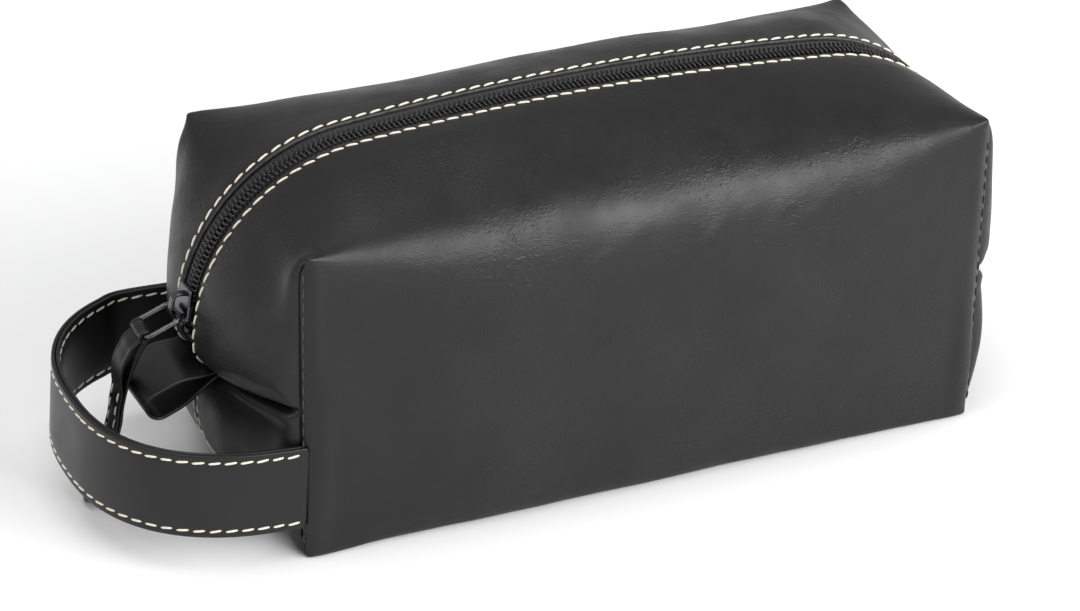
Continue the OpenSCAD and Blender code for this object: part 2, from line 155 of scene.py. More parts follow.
def make_mesh(name, verts, faces, body=None, material=None, uv=None):
    """A smooth-shaded mesh piece from points in millimetres."""
    mesh = bpy.data.meshes.new(name)
    mesh.from_pydata((np.asarray(verts) * MM).tolist(), [], [list(map(int, f)) for f in faces])
    if uv is not None:
        layer = mesh.uv_layers.new(name="along")
        loops = np.zeros(len(mesh.loops), np.int32)
        mesh.loops.foreach_get("vertex_index", loops)
        layer.data.foreach_set("uv", np.asarray(uv, np.float32)[loops].ravel())
    mesh.shade_smooth()
    mesh.update()
    obj = bpy.data.objects.new(name, mesh)
    bpy.context.scene.collection.objects.link(obj)
    if material is not None:
        mesh.materials.append(material)
    if body:
        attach(obj, body)
    return obj


def ring_faces(rows, ring, closed=True, caps=True):
    """Quads between rings of points, and one face over each end."""
    steps = ring if closed else ring - 1
    faces = [(r * ring + k, r * ring + (k + 1) % ring, (r + 1) * ring + (k + 1) % ring, (r + 1) * ring + k)
             for r in range(rows - 1) for k in range(steps)]
    if caps:
        faces += [tuple(range(ring - 1, -1, -1)), tuple((rows - 1) * ring + k for k in range(ring))]
    return faces


def subdivide(obj, levels):
    modifier = obj.modifiers.new("subdivision", "SUBSURF")
    modifier.levels = modifier.render_levels = levels
    return obj


# ---- the bag's shell ----
TOP_N, CORNER_N, END_N, CURL_N, LIP_N, LOWER_N = 40, 14, 15, 8, 4, 26
SIDE_N = END_N + CURL_N + LIP_N + LOWER_N
EDGE_N = TOP_N + CORNER_N
LOOP_N = 2 * (2 * EDGE_N + SIDE_N)
SEAM_STATION = TOP_N + CORNER_N + END_N + CURL_N + LIP_N
CORNER_A = 45.0
# Distances of the mesh rows from a corner seam: close together beside it, to carry its groove
FROM_SEAM = np.array([35.6, 31.5, 27.5, 23.6, 20, 16.7, 13.6, 10.8, 8.3, 6.2, 4.4, 2.8, 1.6, 0.7, 0])
ROW_SPAN = 49
ROWS = np.array([ROW_SPAN, 47.8, 46, 43.5, 40.5, 37, 33.5, 30, 26.5, 23, 19.5, 16, 12.5, 9.3, 6.6, 4.4, 2.8,
                 1.6, 0.7, 0]) / ROW_SPAN


def middle_profile():
    """The closed profile of the bag over its middle, from the top of the zip round by the left end."""
    curl = arc((-ZIP_REACH + CURL_R, END_Z), CURL_R, 90, CURL_END, CURL_N)
    return close_loop(np.vstack([
        [[0, CROWN_H]],
        arc((0, CROWN_H - TOP_R), TOP_R, 0, JOIN_A, TOP_N),
        arc((-END_X, END_Z), END_R, JOIN_A, CORNER_A, CORNER_N),
        arc((-END_X, END_Z), END_R, CORNER_A, 90, END_N),
        curl,
        line(curl[-1], SEAM, LIP_N),
        bezier(SEAM, SEAM_HANDLE, BASE_HANDLE, (-BASE_HALF, 0), LOWER_N, crowd=1.45),
        line((-BASE_HALF, 0), (0, 0), EDGE_N)]))


def close_loop(half):
    return np.vstack([half, (half * (-1, 1))[-2:0:-1]])


def edge_profile():
    """The same stations on the edge of the front face."""
    join_x = HALF_L - FROM_SEAM[0]
    top_x = np.concatenate([np.linspace(0, join_x, TOP_N + 1), HALF_L - FROM_SEAM[1:]])
    curl_z = BAG_H * 0.66
    side_z = np.concatenate([np.linspace(BAG_H, curl_z, END_N + 1)[1:],
                             np.linspace(curl_z, SEAM_CORNER_Z + 4, CURL_N + 1)[1:],
                             np.linspace(SEAM_CORNER_Z + 4, SEAM_CORNER_Z, LIP_N + 1)[1:],
                             SEAM_CORNER_Z * (1 - (np.arange(1, LOWER_N + 1) / LOWER_N) ** 1.25)])
    half = np.vstack([np.stack([-top_x, np.full(EDGE_N + 1, BAG_H)], 1),
                      np.stack([np.full(SIDE_N, -HALF_L), side_z], 1),
                      np.stack([-top_x[-2::-1], np.zeros(EDGE_N)], 1)])
    return close_loop(half)


def loop_normals(loop):
    along = unit(np.roll(loop, -1, 0) - np.roll(loop, 1, 0))
    return np.stack([along[:, 1], -along[:, 0]], 1)


def bell(value, centre, width):
    return np.exp(-((value - centre) / width) ** 2)


def corner_groove(distance):
    """Depth of the groove beside a corner seam."""
    return 2.6 * bell(distance, 0, 1.1) + 1.5 * bell(distance, 0, 3.0)


def corner_swell(distance, z):
    """How far the leather beside a corner seam stands out of its own face."""
    return (0.8 + 1.1 * bell(z, 106, 10) + 2.2 * bell(z, 26, 24)) * bell(distance, 5.4, 3.6)


def face_roll(distance, z):
    """How far the face's leather rolls out over its corner seam, most of all near the foot."""
    return (0.9 + 1.3 * bell(z, 24, 26)) * bell(distance, 2.4, 2.2)


def end_fold(distance, t):
    """Depth of the end seam's crease, with a lip below it and a fuller roll above it."""
    fade = 1 - t**12
    lip = 1.7 * bell(distance, -4.2, 2.6) * np.clip((t - 0.15) / 0.3, 0, 1)
    upper = 1.2 * bell(distance, 7, 5.5) * np.clip((t - 0.1) / 0.4, 0, 1)
    return (3.6 * bell(distance, 0, 1.5) - lip - upper) * fade


def shell_grid():
    """Points and faces of the front half, with the front face as a grid inside the side rows."""
    middle, edge = middle_profile(), edge_profile()
    station = np.arange(LOOP_N)
    in_zip = (station <= SEAM_STATION) | (station >= LOOP_N - SEAM_STATION)
    outer = middle + np.where(in_zip, LEATHER_OUT, 0)[:, None] * loop_normals(middle)
    rim = np.where(in_zip, WINDOW_HALF, 0.06)
    nearer = np.minimum(station, LOOP_N - station)
    half_s = lengths(middle[:LOOP_N // 2 + 1])
    below_middle = half_s[SEAM_STATION] - half_s[nearer]
    below_edge = edge[:, 1] - SEAM_CORNER_Z
    side = ((station > EDGE_N) & (station < EDGE_N + SIDE_N)) | \
        ((station > LOOP_N - EDGE_N - SIDE_N) & (station < LOOP_N - EDGE_N))
    fade = np.where(side, np.minimum(1, np.minimum(BAG_H - edge[:, 1], edge[:, 1] + 1.5) / 5), 0)
    upper_end = np.clip(np.minimum((nearer - TOP_N) / CORNER_N, (EDGE_N + END_N - nearer) / END_N), 0, 1)
    fullness = (2 + 0.5 * upper_end)[:, None]
    rings = []
    for t in 1 - ROWS:
        flat = outer + (edge - outer) * t**fullness
        y = -rim - (HALF_W - rim) * t
        fold = np.where(side, end_fold(below_middle * (1 - t) + below_edge * t, t), 0)
        groove = fade * corner_groove((1 - t) * ROW_SPAN)
        swell = fade * corner_swell((1 - t) * ROW_SPAN, edge[:, 1])
        flat[:, 0] -= np.sign(flat[:, 0]) * (fold + groove - swell)
        rings.append(np.stack([flat[:, 0], y + groove, flat[:, 1]], 1))
    verts = list(np.vstack(rings))
    last = (len(ROWS) - 1) * LOOP_N
    cols, rows = 2 * EDGE_N, SIDE_N
    grid = np.zeros((rows + 1, cols + 1), int)
    grid[0] = last + (EDGE_N - np.arange(cols + 1)) % LOOP_N
    grid[rows] = last + EDGE_N + SIDE_N + np.arange(cols + 1)
    grid[:, 0] = last + EDGE_N + np.arange(rows + 1)
    grid[:, cols] = last + LOOP_N - EDGE_N - np.arange(rows + 1)
    flat_edge = np.stack([edge[:, 0], np.full(LOOP_N, -HALF_W), edge[:, 1]], 1)
    for r in range(1, rows):
        z = edge[EDGE_N + r, 1]
        for c in range(1, cols):
            x = flat_edge[grid[0, c] - last, 0]
            u, v = x / HALF_L, z / BAG_H * 2 - 1
            swell = FACE_BULGE * (1 - abs(u) ** 2.6) * (1 - abs(v) ** 2.4)
            ease = min(1, min(BAG_H - z, z + 1.5) / 5)
            beside = HALF_L - abs(x)
            groove = ease * corner_groove(beside)
            dent = groove - 0.5 * ease * corner_swell(beside, z)
            grid[r, c] = len(verts)
            # copysign takes the size alone, so close to the seam the groove too moves the leather outwards
            roll = math.copysign(ease * face_roll(beside, z) - groove, x)
            verts.append(np.array([x + roll, -HALF_W - swell + dent, z]))
    faces = ring_faces(len(ROWS), LOOP_N, caps=False)
    faces += [(grid[r, c], grid[r + 1, c], grid[r + 1, c + 1], grid[r, c + 1])
              for r in range(rows) for c in range(cols)]
    return np.array(verts), np.array(faces)


def neighbours(faces, count):
    edges = np.vstack([faces[:, [0, 1]], faces[:, [1, 2]], faces[:, [2, 3]], faces[:, [3, 0]]])
    edges = np.unique(np.sort(edges, 1), axis=0)
    degree = np.bincount(edges.ravel(), minlength=count)
    return edges, degree


def relax(verts, faces, weight, rounds):
    """Evens the surface out where weight says, as a soft fold does."""
    edges, degree = neighbours(faces, len(verts))
    for _ in range(rounds):
        total = np.zeros_like(verts)
        np.add.at(total, edges[:, 0], verts[edges[:, 1]])
        np.add.at(total, edges[:, 1], verts[edges[:, 0]])
        verts = verts + (total / degree[:, None] - verts) * weight[:, None]
    return verts


def soften_edges(verts, faces, top_rounds):
    """Rounds the face's long edges, widely at mid-length, then blunts the tips and feet."""
    across = np.hypot(verts[:, 1] + HALF_W, verts[:, 2] - BAG_H)
    below = np.hypot(verts[:, 1] + HALF_W, verts[:, 2])
    middle = np.clip(1 - (abs(verts[:, 0]) / (HALF_L - 3)) ** 5, 0, 1)
    weight = 0.6 * middle * np.exp(-(across / 29) ** 2)
    verts = relax(verts, faces, weight, top_rounds)
    weight = 0.5 * middle * np.exp(-(below / 7) ** 2)
    verts = relax(verts, faces, weight, 14)
    to_tip = np.linalg.norm(abs(verts) - (HALF_L, HALF_W, BAG_H), axis=1)
    to_foot = np.linalg.norm(abs(verts) - (HALF_L, HALF_W, 0), axis=1)
    verts = relax(verts, faces, 0.6 * (bell(to_tip, 0, 5) + bell(to_foot, 0, 7)), 4)
    verts[:, 2] = np.maximum(verts[:, 2], 0)
    return verts


def lift_tips(verts, left, right):
    """Raises the two upper corner tips by these heights, and the leather round them with it."""
    for sign, height in ((-1, left), (1, right)):
        away = np.linalg.norm(verts - (sign * HALF_L, -HALF_W, BAG_H), axis=1)
        verts[:, 2] += height * bell(away, 0, 34)
    return verts


def inflate(verts, faces, pin, pressure, cap, frames=18):
    """Cloth simulation under pressure: pinned points hold, and the rest moves by at most cap."""
    obj = make_mesh("inflating", verts, faces)
    group = obj.vertex_groups.new(name="pin")
    for level in np.unique(np.round(pin, 2)):
        if level > 0:
            group.add(np.flatnonzero(np.round(pin, 2) == level).tolist(), float(level), "REPLACE")
    cloth = obj.modifiers.new("cloth", "CLOTH")
    settings = cloth.settings
    settings.quality = 6
    settings.mass = 0.25
    settings.tension_stiffness = settings.compression_stiffness = 40
    settings.shear_stiffness = 25
    settings.bending_stiffness = 6
    settings.air_damping = 4
    settings.vertex_group_mass = "pin"
    settings.use_pressure = True
    settings.uniform_pressure_force = pressure
    settings.effector_weights.gravity = 0
    cloth.point_cache.frame_start = 1
    cloth.point_cache.frame_end = frames
    scene = bpy.context.scene
    for step in range(1, frames + 1):
        scene.frame_set(step)
    seen = obj.evaluated_get(bpy.context.evaluated_depsgraph_get()).to_mesh()
    moved = np.zeros(len(seen.vertices) * 3, np.float32)
    seen.vertices.foreach_get("co", moved)
    scene.frame_set(1)
    bpy.data.objects.remove(obj)
    step = moved.reshape(-1, 3) / MM - verts
    far = np.linalg.norm(step, axis=1, keepdims=True)
    return verts + step * np.minimum(1, cap / np.maximum(far, 1e-9))


def waves(points, scale, seed, count=14):
    """Smooth, repeatable unevenness between about -1 and 1."""
    random = np.random.default_rng(seed)
    total = np.zeros(len(points))
    for _ in range(count):
        direction = random.normal(size=3) / scale
        total += np.sin(points @ direction * 2 + random.uniform(0, 2 * math.pi))
    return total / math.sqrt(count)


def vertex_normals(verts, faces):
    a, b = verts[faces[:, 2]] - verts[faces[:, 0]], verts[faces[:, 3]] - verts[faces[:, 1]]
    face_normal = np.cross(a, b)
    total = np.zeros_like(verts)
    for k in range(4):
        np.add.at(total, faces[:, k], face_normal)
    return unit(total)


def soft_folds(points, folds):
    """Height of soft folds on a face; each is (x, z, length, lean from the vertical in degrees, height)."""
    total = np.zeros(len(points))
    for x, z, length, lean, height in folds:
        turn = math.radians(lean)
        dx, dz = points[:, 0] - x, points[:, 2] - z
        along = dx * math.sin(turn) + dz * math.cos(turn)
        across = dx * math.cos(turn) - dz * math.sin(turn)
        total += height * bell(along, 0, length / 2) * (bell(across, 0, 2.6) - 0.6 * bell(across, 4.2, 2.8))
    return total * np.clip((-points[:, 1] - 40) / 12, 0, 1)


def make_shell(seed, top_rounds, folds, cap, tips):
    """The front half as a closed sheet with a zip window: softened, inflated and made a little uneven."""
    verts, faces = shell_grid()
    verts = lift_tips(soften_edges(verts, faces, top_rounds), *tips)
    rim = np.arange(len(verts)) < LOOP_N
    near_zip = np.exp(-(np.maximum(0, abs(verts[:, 1]) - 9) / 5) ** 2)
    on_base = verts[:, 2] < 0.4
    at_seam = np.zeros(len(verts))
    ends = np.abs(np.abs(verts[:, 0]) - HALF_L) < 5
    at_seam[ends & (verts[:, 1] < -HALF_W + 5)] = 1
    cleft = (abs(verts[:, 0]) > HALF_L - 2) & (abs(verts[:, 2] - SEAM_CORNER_Z + 2) < 7)
    pin = np.clip(np.maximum.reduce([rim * 1.0, near_zip, on_base * 1.0, at_seam, cleft * 0.9]), 0, 1)
    verts = inflate(verts, faces, pin, pressure=0.9, cap=cap)
    free = 1 - pin
    normal = vertex_normals(verts, faces)
    uneven = 0.45 * waves(verts, 34, seed) + 0.16 * waves(verts, 13, seed + 1) + soft_folds(verts, folds)
    verts = verts + normal * (uneven * free)[:, None]
    verts[:, 2] = np.maximum(verts[:, 2], 0)
    return verts, faces


# ---- finishing meshes ----
def settle(obj):
    """Applies every modifier."""
    seen = obj.evaluated_get(bpy.context.evaluated_depsgraph_get())
    final = bpy.data.meshes.new_from_object(seen)
    obj.modifiers.clear()
    obj.data = final
    return obj


def thicken(obj, thickness, levels=1, rim_material=None):
    """Gives a sheet its thickness inwards, then smooths it."""
    solid = obj.modifiers.new("thickness", "SOLIDIFY")
    solid.thickness = thickness * MM
    solid.offset = -1
    if rim_material is not None:
        obj.data.materials.append(rim_material)
        solid.material_offset_rim = 1
    if levels:
        subdivide(obj, levels)
    return settle(obj)


def finish_piece(obj, slot, *nodes):
    if nodes:
        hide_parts(*nodes)
    return obj


# ---- ribbons: straps, plies and folded strips ----
def section(half_w, half_t, margin, dip):
    """Outline across a strap: rounded edges, and a shallow channel where the stitches pull it in."""
    edge = min(half_t * 0.85, half_w * 0.5)
    a = np.radians(np.linspace(-75, 75, 6))
    right = np.stack([half_w - edge + edge * np.cos(a), half_t * np.sin(a)], 1)
    inside = [margin * 0.45, margin - 0.7, margin, margin + 0.7, margin + 1.8]
    y = np.array([half_w - d for d in inside if d < half_w - 0.2] or [half_w * 0.5])
    height = half_t * (1 - dip * np.exp(-((half_w - y - margin) / 0.75) ** 2))
    top = np.stack([y, height], 1)
    top = np.vstack([top, [[0, half_t]], (top * (-1, 1))[::-1]])
    return np.vstack([right, top, (right * (-1, 1))[::-1], (top * (1, -1))[::-1]])


def ribbon(name, path, across, half_w, half_t, material, margin=2.0, dip=0.0, levels=1):
    """A flat strap along a path; half_w holds its half width at each point."""
    along = tangents(path)
    across = unit(across - along * np.sum(across * along, 1, keepdims=True))
    normal = np.cross(along, across)
    full = section(max(half_w), half_t, margin, dip)
    verts, uv = [], []
    s = lengths(path)
    for i in range(len(path)):
        w = full[:, 0] * half_w[i] / max(half_w)
        verts.append(path[i] + np.outer(w, across[i]) + np.outer(full[:, 1], normal[i]))
        uv.append(np.stack([np.full(len(full), s[i]), w], 1))
    faces = ring_faces(len(path), len(full))
    obj = make_mesh(name, np.vstack(verts), faces, material=material, uv=np.vstack(uv))
    fix_normals(obj)
    if levels:
        subdivide(obj, levels)
        settle(obj)
    return obj


def fix_normals(obj):
    mesh = bmesh.new()
    mesh.from_mesh(obj.data)
    bmesh.ops.recalc_face_normals(mesh, faces=mesh.faces)
    mesh.to_mesh(obj.data)
    mesh.free()


def round_end(s, total, r):
    """Half width along a strap whose ends are rounded with radius r."""
    near = np.clip(np.minimum(s, total - s), 0.02, r)
    return np.sqrt(r * r - (r - near) ** 2)


# ---- stitches ----
def stitch_shape():
    """One stitch along X: a thread that dips into its holes at both ends."""
    x = np.array([-1, -0.93, -0.72, -0.4, 0, 0.4, 0.72, 0.93, 1])
    ring = 8
    a = np.arange(ring) / ring * 2 * math.pi
    verts, uv = [], []
    for value in x:
        r = max(1 - abs(value) ** 5, 0.02) ** 0.5
        dip = 0.9 * abs(value) ** 4
        verts.append(np.stack([np.full(ring, value), r * np.cos(a), r * np.sin(a) - dip], 1))
        uv.append(np.stack([np.full(ring, value), a], 1))
    return np.vstack(verts), ring_faces(len(x), ring), np.vstack(uv)


def stitches(name, places, length, width, material, slant=0.0):
    """A piece of many stitches; each place is (centre, direction, outward normal)."""
    shape, faces, uv = stitch_shape()
    scaled = shape * (length / 2, width / 2, width / 2)
    turn = math.radians(slant)
    all_verts, all_faces, all_uv = [], [], []
    for i, (centre, direction, outward) in enumerate(places):
        n = unit(np.array(outward, float))
        x = unit(np.array(direction, float) - n * np.dot(direction, n))
        y = np.cross(n, x)
        x, y = x * math.cos(turn) + y * math.sin(turn), y * math.cos(turn) - x * math.sin(turn)
        jitter = rng.normal(0, 0.03, 2)
        frame_rows = np.array([x + y * jitter[0], y, n])
        all_faces += [tuple(i * len(shape) + k for k in face) for face in faces]
        all_verts.append(np.array(centre) + (scaled * (1 + jitter[1], 1, 1)) @ frame_rows)
        all_uv.append(uv + (i * 1.7, 0))
    obj = make_mesh(name, np.vstack(all_verts), all_faces, material=material, uv=np.vstack(all_uv))
    fix_normals(obj)
    return obj


def row_steps(total, margin):
    """Distances of a row's stitches, evenly spread between equal margins."""
    room = total - 2 * margin
    count = int(room / STITCH_PITCH)
    return [margin + (i + 0.5) * room / count for i in range(count)]


# ---- the zip's track ----
class Track:
    """A path in the XZ plane, followed by distance, with its outward side on the left of its direction."""

    def __init__(self, path):
        self.path, self.s = path, lengths(path)
        self.total = self.s[-1]

    def point(self, s):
        return np.stack([np.interp(s, self.s, self.path[:, k]) for k in (0, 1)], -1)

    def along(self, s):
        return unit(self.point(np.asarray(s) + 0.8) - self.point(np.asarray(s) - 0.8))

    def place(self, s, y, height):
        """Points at distances s along the track, at depth y and height outside it."""
        p, t = self.point(s), self.along(s)
        y = np.broadcast_to(y, p[..., 0].shape)
        h = np.broadcast_to(height, p[..., 0].shape)
        return np.stack([p[..., 0] - t[..., 1] * h, y, p[..., 1] + t[..., 0] * h], -1)

    def outward(self, s):
        t = self.along(s)
        return np.array([-t[1], 0, t[0]])

    def forward(self, s):
        t = self.along(s)
        return np.array([t[0], 0, t[1]])


def zip_path():
    fine = 4
    left = np.vstack([[[0, CROWN_H]],
                      arc((0, CROWN_H - TOP_R), TOP_R, 0, JOIN_A, TOP_N * fine),
                      arc((-END_X, END_Z), END_R, JOIN_A, 90, 30 * fine),
                      arc((-ZIP_REACH + CURL_R, END_Z), CURL_R, 90, CURL_END, CURL_N * fine),
                      [SEAM]])
    return np.vstack([left[::-1], (left * (-1, 1))[1:]])


def lower_path():
    half = np.vstack([[SEAM], bezier(SEAM, SEAM_HANDLE, BASE_HANDLE, (-BASE_HALF, 0), 60),
                      line((-BASE_HALF, 0), (0, 0), 60)])
    return np.vstack([half, (half * (-1, 1))[-2::-1]])


zip_track = Track(zip_path())
base_track = Track(lower_path())


def end_arc_s(angle):
    """Distance along the zip track of a place on the left end arc."""
    return CURL_R * math.radians(CURL_END - 90) + math.radians(90 - angle) * END_R + \
        np.linalg.norm(SEAM - arc((-ZIP_REACH + CURL_R, END_Z), CURL_R, 90, CURL_END, 1)[0])


SLIDER_A = 80.0
SLIDER_L = 13.0
STOP_A = SLIDER_A + math.degrees(SLIDER_L / 2 / END_R) + 1.2


# ---- leather, lining ----
def mirrored_y(verts, faces):
    return verts * (1, -1, 1), faces[:, ::-1]


def make_leather(name, verts, faces, skin, edge, node):
    obj = make_mesh(name, verts, faces, "bag", skin)
    thicken(obj, LEATHER_T, 1, edge)
    return finish_piece(obj, "bag_leather", node)


def make_lining(name, verts, faces, cloth, node):
    weight = np.where(np.arange(len(verts)) < LOOP_N, 0.0, 0.5)
    inner = relax(verts - vertex_normals(verts, faces) * (LEATHER_T + 0.9), faces, weight, 8)
    obj = make_mesh(name, inner, faces, "bag", cloth)
    thicken(obj, 0.4, 0)
    return finish_piece(obj, "lining_cloth", node)


# ---- zip ----
def make_tape(name, side, material, node):
    """A woven tape from beside the zip's middle to under the leather."""
    s = np.linspace(0, zip_track.total, 260)
    y = np.array([0.75, 1.6, 2.6, 3.7, 4.6, 5.6, 6.6, 8.2, 10]) * side
    sag = np.array([0, -0.05, -0.05, 0, 0.08, 0.1, 0.04, 0, 0])
    rows = [zip_track.place(s, y[k], TAPE_OUT + sag[k]) for k in range(len(y))]
    verts = np.stack(rows, 1).reshape(-1, 3)
    uv = np.stack(np.meshgrid(s, y, indexing="ij"), -1).reshape(-1, 2)
    faces = [(i * len(y) + k, (i + 1) * len(y) + k, (i + 1) * len(y) + k + 1, i * len(y) + k + 1)
             for i in range(len(s) - 1) for k in range(len(y) - 1)]
    if side < 0:
        faces = [f[::-1] for f in faces]
    obj = make_mesh(name, verts, faces, "bag", material, uv)
    thicken(obj, TAPE_T, 0)
    return finish_piece(obj, "zip_tape", node)


COIL_PITCH = 1.83
WIRE_R = 0.37


def make_coil(name, side, material, node):
    """One nylon coil: a flattened helix whose heads lie between those of the other side."""
    start, stop = end_arc_s(SLIDER_A + 5), zip_track.total - end_arc_s(90)
    steps = 14
    turns = int((stop - start) / COIL_PITCH)
    a = np.arange(turns * steps + 1) * 2 * math.pi / steps
    s = start + COIL_PITCH * (a / (2 * math.pi) + (0.5 if side > 0 else 0))
    across = np.sign(np.cos(a)) * abs(np.cos(a)) ** 0.75
    height = np.sign(np.sin(a)) * abs(np.sin(a)) ** 0.8
    centre = zip_track.place(s, side * (1.92 - 1.62 * across), TAPE_OUT + 1.0 + 0.62 * height)
    obj = tube(name, centre, WIRE_R, 6, "bag", material)
    return finish_piece(obj, "zip_coil", node)


def tube(name, centre, r, ring, body, material, closed=False):
    """A round wire along points; its radius may be one number or an across and upright pair."""
    ra, rb = r if isinstance(r, tuple) else (r, r)
    if closed:
        along = unit(np.roll(centre, -1, 0) - np.roll(centre, 1, 0))
    else:
        along = tangents(centre)
    side = np.cross(along, (0, 1, 0.001))
    weak = np.linalg.norm(side, axis=1) < 0.25
    side[weak] = np.cross(along[weak], (1, 0.02, 0))
    first = unit(side)
    for i in range(1, len(first)):
        carried = first[i - 1] - along[i] * np.dot(first[i - 1], along[i])
        first[i] = carried / np.linalg.norm(carried)
    second = np.cross(along, first)
    a = np.arange(ring) / ring * 2 * math.pi
    verts = (centre[:, None] + ra * np.cos(a)[None, :, None] * first[:, None]
             + rb * np.sin(a)[None, :, None] * second[:, None]).reshape(-1, 3)
    faces = ring_faces(len(centre), ring, caps=not closed)
    if closed:
        last = (len(centre) - 1) * ring
        faces += [(last + k, last + (k + 1) % ring, (k + 1) % ring, k) for k in range(ring)]
    obj = make_mesh(name, verts, faces, material=material)
    fix_normals(obj)
    if body:
        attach(obj, body)
    return obj


def pillow(outline, low, high, edge):
    """A plate with this outline and softly rounded edges."""
    outline = np.array(outline, float)
    centre = outline.mean(0)
    out = unit(np.roll(outline, -1, 0) - np.roll(outline, 1, 0)) @ np.array([[0, -1], [1, 0]])
    rows = [(1.9, low), (1, low), (0.35, low + 0.12 * edge), (0, low + edge),
            (0, high - edge), (0.35, high - 0.12 * edge), (1, high), (1.9, high)]
    verts = [np.column_stack([outline - out * inset * edge * 0.8, np.full(len(outline), z)])
             for inset, z in rows]
    n = len(outline)
    verts = np.vstack(verts + [[[*centre, low]], [[*centre, high]]])
    faces = ring_faces(len(rows), n, caps=False)
    faces += [((k + 1) % n, k, len(rows) * n) for k in range(n)]
    top = (len(rows) - 1) * n
    faces += [(top + k, top + (k + 1) % n, len(rows) * n + 1) for k in range(n)]
    return verts, faces


def rounded(points, r, steps=5):
    """An anticlockwise outline with each corner rounded."""
    p = np.array(points, float)
    result = []
    for i in range(len(p)):
        before, after = unit(p[i - 1] - p[i]), unit(p[(i + 1) % len(p)] - p[i])
        half = math.acos(np.clip(np.dot(before, after), -1, 1)) / 2
        reach = r / math.tan(half)
        centre = p[i] + unit(before + after) * r / math.sin(half)
        start, stop = p[i] + before * reach - centre, p[i] + after * reach - centre
        for k in range(steps + 1):
            v = start * (1 - k / steps) + stop * (k / steps)
            result.append(centre + v / np.linalg.norm(v) * r)
    return np.array(result)


def on_end_arc(angle, height=0.0):
    """A place on the left end arc: +Z outwards, +X up along the zip."""
    a = math.radians(angle)
    r = END_R + height
    axes = np.array([[math.cos(a), 0, math.sin(a)], [0, 1, 0], [-math.sin(a), 0, math.cos(a)]])
    return np.array([-END_X - r * math.sin(a), 0, END_Z + r * math.cos(a)]), axes


def join(parts):
    """Points and faces of several closed shapes as one."""
    verts, faces, first = [], [], 0
    for v, f in parts:
        verts.append(v)
        faces += [tuple(first + k for k in face) for face in f]
        first += len(v)
    return np.vstack(verts), faces


def box_outline(x0, x1, y0, y1, r):
    return rounded([(x0, y0), (x1, y0), (x1, y1), (x0, y1)], r)


def bent(verts, angle):
    """From the slider's own flat place to the end arc."""
    origin, axes = on_end_arc(angle)
    verts = verts - np.outer(verts[:, 0] ** 2 / (2 * END_R), (0, 0, 1))
    return origin + verts @ axes


TOP_PLATE = 1.4
PLATE_T = 1.1
TOP_FACE = TOP_PLATE + PLATE_T
LOW_PLATE = -2.1
FAR_STOP_A = 91.1
BAR_X, BAR_Z = -3.0, 1.9


def make_slider(material):
    """Two shaped plates round the coils, side flanges, the post between them and the puller's bridge."""
    shield = rounded([(-6.5, -4.4), (-4.2, -5.7), (1.2, -5.7), (6.5, -4.5), (6.5, 4.5), (1.2, 5.7),
                      (-4.2, 5.7), (-6.5, 4.4), (-5.6, 0)], 0.9)
    parts = [pillow(shield, TOP_PLATE, TOP_FACE, 0.42), pillow(shield, LOW_PLATE - PLATE_T, LOW_PLATE, 0.3),
             pillow(box_outline(-6, -2.4, -0.5, 0.5, 0.4), LOW_PLATE - 0.2, TOP_PLATE + 0.2, 0.1)]
    for side in (-1, 1):
        y0, y1 = sorted((side * 4.5, side * 5.65))
        parts += [pillow(box_outline(-4.3, 1.4, y0, y1, 0.4), -0.45, TOP_PLATE + 0.5, 0.15),
                  pillow(box_outline(-4.3, 1.4, y0, y1, 0.4), LOW_PLATE - 0.5, -1.72, 0.05)]
    bridge = smooth_path([(-3.7, 0, -0.4), (-4.75, 0, 0.9), (-4.85, 0, 2.1), (-4.1, 0, 3.3), (-2.9, 0, 3.72),
                          (1.2, 0, 3.7), (2.9, 0, 3.35), (3.7, 0, 2.2), (3.9, 0, -0.4)], 26)
    frame_normal = np.tile((0, 1.0, 0), (len(bridge), 1))
    arch = ribbon("bridge", bridge, frame_normal, np.full(len(bridge), 1.3), 0.52, None, 0.6, 0, 0)
    arch_verts = np.array([v.co for v in arch.data.vertices]) / MM
    arch_faces = [tuple(p.vertices) for p in arch.data.polygons]
    bpy.data.objects.remove(arch)
    parts.append((arch_verts + (0, 0, TOP_FACE), arch_faces))
    verts, faces = join(parts)
    obj = make_mesh("slider_body", bent(verts, SLIDER_A), faces, "slider", material)
    fix_normals(obj)
    subdivide(obj, 1)
    return finish_piece(settle(obj), "gunmetal", "zip_slider")


def make_stops(material):
    """Metal stops: one on each tape beyond the slider, and one across both at the other end."""
    top = []
    for side in (-1, 1):
        y0, y1 = sorted((side * 1.2, side * 3.6))
        top.append(pillow(box_outline(-1.2, 1.2, y0, y1, 0.5), -1.75, 1.25, 0.4))
    verts, faces = join(top)
    stop = make_mesh("zip_end_stops", bent(verts, STOP_A + 1.1), faces, "bag", material)
    fix_normals(stop)
    finish_piece(stop, "gunmetal", "zip_top_stops")
    verts, faces = join([pillow(box_outline(-1.2, 1.2, -3.9, 3.9, 0.6), -1.75, 1.25, 0.4)])
    far = make_mesh("zip_far_stop", bent(verts, FAR_STOP_A) * (-1, 1, 1), faces, "bag", material)
    fix_normals(far)
    finish_piece(far, "gunmetal", "zip_bottom_stop")


